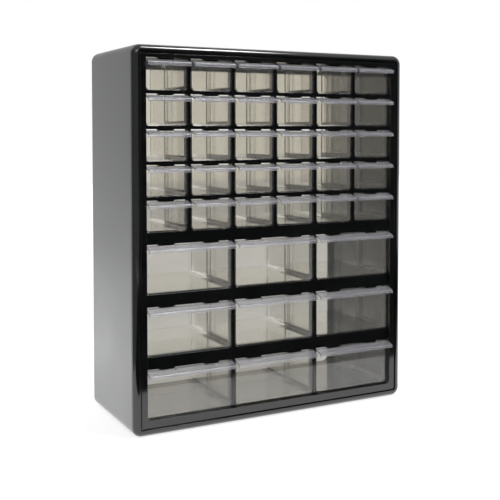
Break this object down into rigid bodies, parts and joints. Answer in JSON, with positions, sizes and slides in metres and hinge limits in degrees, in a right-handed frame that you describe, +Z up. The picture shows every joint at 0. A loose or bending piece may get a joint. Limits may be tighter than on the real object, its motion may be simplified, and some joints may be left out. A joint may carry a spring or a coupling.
{
  "type": "parts bin cabinet",
  "caption": "Bench cabinet for small parts: a plastic case with a framed grid of clear pull-out drawers, small ones above and double-width ones below.",
  "frame": {"origin": "centre of the footprint on the bench, with the drawers' lips", "axes": "+Z up, the drawers face -Y and pull out along -Y, +X to the right of someone who faces the drawers"},
  "size_m": [0.3902, 0.1616, 0.47],
  "materials": {
    "casing_grey": "satin dark grey moulded plastic",
    "frame_black": "gloss black moulded plastic",
    "drawer_clear": "clear, slightly warm moulded polystyrene"
  },
  "bodies": {
    "cabinet": {"casing": "casing_grey", "bezel": "frame_black", "drawer_grid": "frame_black", "rear_frame": "frame_black", "runner_comb_1": "frame_black", "runner_comb_2": "frame_black", "runner_comb_3": "frame_black", "runner_comb_4": "frame_black", "runner_comb_5": "frame_black", "runner_comb_6": "frame_black", "runner_comb_7": "frame_black"},
    "small_drawer_1_1": {"small_drawer_1_1": "drawer_clear"},
    "small_drawer_1_2": {"small_drawer_1_2": "drawer_clear"},
    "small_drawer_1_3": {"small_drawer_1_3": "drawer_clear"},
    "small_drawer_1_4": {"small_drawer_1_4": "drawer_clear"},
    "small_drawer_1_5": {"small_drawer_1_5": "drawer_clear"},
    "small_drawer_1_6": {"small_drawer_1_6": "drawer_clear"},
    "small_drawer_2_1": {"small_drawer_2_1": "drawer_clear"},
    "small_drawer_2_2": {"small_drawer_2_2": "drawer_clear"},
    "small_drawer_2_3": {"small_drawer_2_3": "drawer_clear"},
    "small_drawer_2_4": {"small_drawer_2_4": "drawer_clear"},
    "small_drawer_2_5": {"small_drawer_2_5": "drawer_clear"},
    "small_drawer_2_6": {"small_drawer_2_6": "drawer_clear"},
    "small_drawer_3_1": {"small_drawer_3_1": "drawer_clear"},
    "small_drawer_3_2": {"small_drawer_3_2": "drawer_clear"},
    "small_drawer_3_3": {"small_drawer_3_3": "drawer_clear"},
    "small_drawer_3_4": {"small_drawer_3_4": "drawer_clear"},
    "small_drawer_3_5": {"small_drawer_3_5": "drawer_clear"},
    "small_drawer_3_6": {"small_drawer_3_6": "drawer_clear"},
    "small_drawer_4_1": {"small_drawer_4_1": "drawer_clear"},
    "small_drawer_4_2": {"small_drawer_4_2": "drawer_clear"},
    "small_drawer_4_3": {"small_drawer_4_3": "drawer_clear"},
    "small_drawer_4_4": {"small_drawer_4_4": "drawer_clear"},
    "small_drawer_4_5": {"small_drawer_4_5": "drawer_clear"},
    "small_drawer_4_6": {"small_drawer_4_6": "drawer_clear"},
    "small_drawer_5_1": {"small_drawer_5_1": "drawer_clear"},
    "small_drawer_5_2": {"small_drawer_5_2": "drawer_clear"},
    "small_drawer_5_3": {"small_drawer_5_3": "drawer_clear"},
    "small_drawer_5_4": {"small_drawer_5_4": "drawer_clear"},
    "small_drawer_5_5": {"small_drawer_5_5": "drawer_clear"},
    "small_drawer_5_6": {"small_drawer_5_6": "drawer_clear"},
    "large_drawer_1_1": {"large_drawer_1_1": "drawer_clear"},
    "large_drawer_1_2": {"large_drawer_1_2": "drawer_clear"},
    "large_drawer_1_3": {"large_drawer_1_3": "drawer_clear"},
    "large_drawer_2_1": {"large_drawer_2_1": "drawer_clear"},
    "large_drawer_2_2": {"large_drawer_2_2": "drawer_clear"},
    "large_drawer_2_3": {"large_drawer_2_3": "drawer_clear"},
    "large_drawer_3_1": {"large_drawer_3_1": "drawer_clear"},
    "large_drawer_3_2": {"large_drawer_3_2": "drawer_clear"},
    "large_drawer_3_3": {"large_drawer_3_3": "drawer_clear"}
  },
  "joints": [
    {"name": "small_drawer_1_1_slide", "type": "slide", "parent": "cabinet", "child": "small_drawer_1_1", "axis": [0, -1, 0], "range_m": [0, 0.1277]},
    {"name": "small_drawer_1_2_slide", "type": "slide", "parent": "cabinet", "child": "small_drawer_1_2", "axis": [0, -1, 0], "range_m": [0, 0.1277]},
    {"name": "small_drawer_1_3_slide", "type": "slide", "parent": "cabinet", "child": "small_drawer_1_3", "axis": [0, -1, 0], "range_m": [0, 0.1277]},
    {"name": "small_drawer_1_4_slide", "type": "slide", "parent": "cabinet", "child": "small_drawer_1_4", "axis": [0, -1, 0], "range_m": [0, 0.1277]},
    {"name": "small_drawer_1_5_slide", "type": "slide", "parent": "cabinet", "child": "small_drawer_1_5", "axis": [0, -1, 0], "range_m": [0, 0.1277]},
    {"name": "small_drawer_1_6_slide", "type": "slide", "parent": "cabinet", "child": "small_drawer_1_6", "axis": [0, -1, 0], "range_m": [0, 0.1277]},
    {"name": "small_drawer_2_1_slide", "type": "slide", "parent": "cabinet", "child": "small_drawer_2_1", "axis": [0, -1, 0], "range_m": [0, 0.1277]},
    {"name": "small_drawer_2_2_slide", "type": "slide", "parent": "cabinet", "child": "small_drawer_2_2", "axis": [0, -1, 0], "range_m": [0, 0.1277]},
    {"name": "small_drawer_2_3_slide", "type": "slide", "parent": "cabinet", "child": "small_drawer_2_3", "axis": [0, -1, 0], "range_m": [0, 0.1277]},
    {"name": "small_drawer_2_4_slide", "type": "slide", "parent": "cabinet", "child": "small_drawer_2_4", "axis": [0, -1, 0], "range_m": [0, 0.1277]},
    {"name": "small_drawer_2_5_slide", "type": "slide", "parent": "cabinet", "child": "small_drawer_2_5", "axis": [0, -1, 0], "range_m": [0, 0.1277]},
    {"name": "small_drawer_2_6_slide", "type": "slide", "parent": "cabinet", "child": "small_drawer_2_6", "axis": [0, -1, 0], "range_m": [0, 0.1277]},
    {"name": "small_drawer_3_1_slide", "type": "slide", "parent": "cabinet", "child": "small_drawer_3_1", "axis": [0, -1, 0], "range_m": [0, 0.1277]},
    {"name": "small_drawer_3_2_slide", "type": "slide", "parent": "cabinet", "child": "small_drawer_3_2", "axis": [0, -1, 0], "range_m": [0, 0.1277]},
    {"name": "small_drawer_3_3_slide", "type": "slide", "parent": "cabinet", "child": "small_drawer_3_3", "axis": [0, -1, 0], "range_m": [0, 0.1277]},
    {"name": "small_drawer_3_4_slide", "type": "slide", "parent": "cabinet", "child": "small_drawer_3_4", "axis": [0, -1, 0], "range_m": [0, 0.1277]},
    {"name": "small_drawer_3_5_slide", "type": "slide", "parent": "cabinet", "child": "small_drawer_3_5", "axis": [0, -1, 0], "range_m": [0, 0.1277]},
    {"name": "small_drawer_3_6_slide", "type": "slide", "parent": "cabinet", "child": "small_drawer_3_6", "axis": [0, -1, 0], "range_m": [0, 0.1277]},
    {"name": "small_drawer_4_1_slide", "type": "slide", "parent": "cabinet", "child": "small_drawer_4_1", "axis": [0, -1, 0], "range_m": [0, 0.1277]},
    {"name": "small_drawer_4_2_slide", "type": "slide", "parent": "cabinet", "child": "small_drawer_4_2", "axis": [0, -1, 0], "range_m": [0, 0.1277]},
    {"name": "small_drawer_4_3_slide", "type": "slide", "parent": "cabinet", "child": "small_drawer_4_3", "axis": [0, -1, 0], "range_m": [0, 0.1277]},
    {"name": "small_drawer_4_4_slide", "type": "slide", "parent": "cabinet", "child": "small_drawer_4_4", "axis": [0, -1, 0], "range_m": [0, 0.1277]},
    {"name": "small_drawer_4_5_slide", "type": "slide", "parent": "cabinet", "child": "small_drawer_4_5", "axis": [0, -1, 0], "range_m": [0, 0.1277]},
    {"name": "small_drawer_4_6_slide", "type": "slide", "parent": "cabinet", "child": "small_drawer_4_6", "axis": [0, -1, 0], "range_m": [0, 0.1277]},
    {"name": "small_drawer_5_1_slide", "type": "slide", "parent": "cabinet", "child": "small_drawer_5_1", "axis": [0, -1, 0], "range_m": [0, 0.1277]},
    {"name": "small_drawer_5_2_slide", "type": "slide", "parent": "cabinet", "child": "small_drawer_5_2", "axis": [0, -1, 0], "range_m": [0, 0.1277]},
    {"name": "small_drawer_5_3_slide", "type": "slide", "parent": "cabinet", "child": "small_drawer_5_3", "axis": [0, -1, 0], "range_m": [0, 0.1277]},
    {"name": "small_drawer_5_4_slide", "type": "slide", "parent": "cabinet", "child": "small_drawer_5_4", "axis": [0, -1, 0], "range_m": [0, 0.1277]},
    {"name": "small_drawer_5_5_slide", "type": "slide", "parent": "cabinet", "child": "small_drawer_5_5", "axis": [0, -1, 0], "range_m": [0, 0.1277]},
    {"name": "small_drawer_5_6_slide", "type": "slide", "parent": "cabinet", "child": "small_drawer_5_6", "axis": [0, -1, 0], "range_m": [0, 0.1277]},
    {"name": "large_drawer_1_1_slide", "type": "slide", "parent": "cabinet", "child": "large_drawer_1_1", "axis": [0, -1, 0], "range_m": [0, 0.1277]},
    {"name": "large_drawer_1_2_slide", "type": "slide", "parent": "cabinet", "child": "large_drawer_1_2", "axis": [0, -1, 0], "range_m": [0, 0.1277]},
    {"name": "large_drawer_1_3_slide", "type": "slide", "parent": "cabinet", "child": "large_drawer_1_3", "axis": [0, -1, 0], "range_m": [0, 0.1277]},
    {"name": "large_drawer_2_1_slide", "type": "slide", "parent": "cabinet", "child": "large_drawer_2_1", "axis": [0, -1, 0], "range_m": [0, 0.1277]},
    {"name": "large_drawer_2_2_slide", "type": "slide", "parent": "cabinet", "child": "large_drawer_2_2", "axis": [0, -1, 0], "range_m": [0, 0.1277]},
    {"name": "large_drawer_2_3_slide", "type": "slide", "parent": "cabinet", "child": "large_drawer_2_3", "axis": [0, -1, 0], "range_m": [0, 0.1277]},
    {"name": "large_drawer_3_1_slide", "type": "slide", "parent": "cabinet", "child": "large_drawer_3_1", "axis": [0, -1, 0], "range_m": [0, 0.1277]},
    {"name": "large_drawer_3_2_slide", "type": "slide", "parent": "cabinet", "child": "large_drawer_3_2", "axis": [0, -1, 0], "range_m": [0, 0.1277]},
    {"name": "large_drawer_3_3_slide", "type": "slide", "parent": "cabinet", "child": "large_drawer_3_3", "axis": [0, -1, 0], "range_m": [0, 0.1277]}
  ]
}
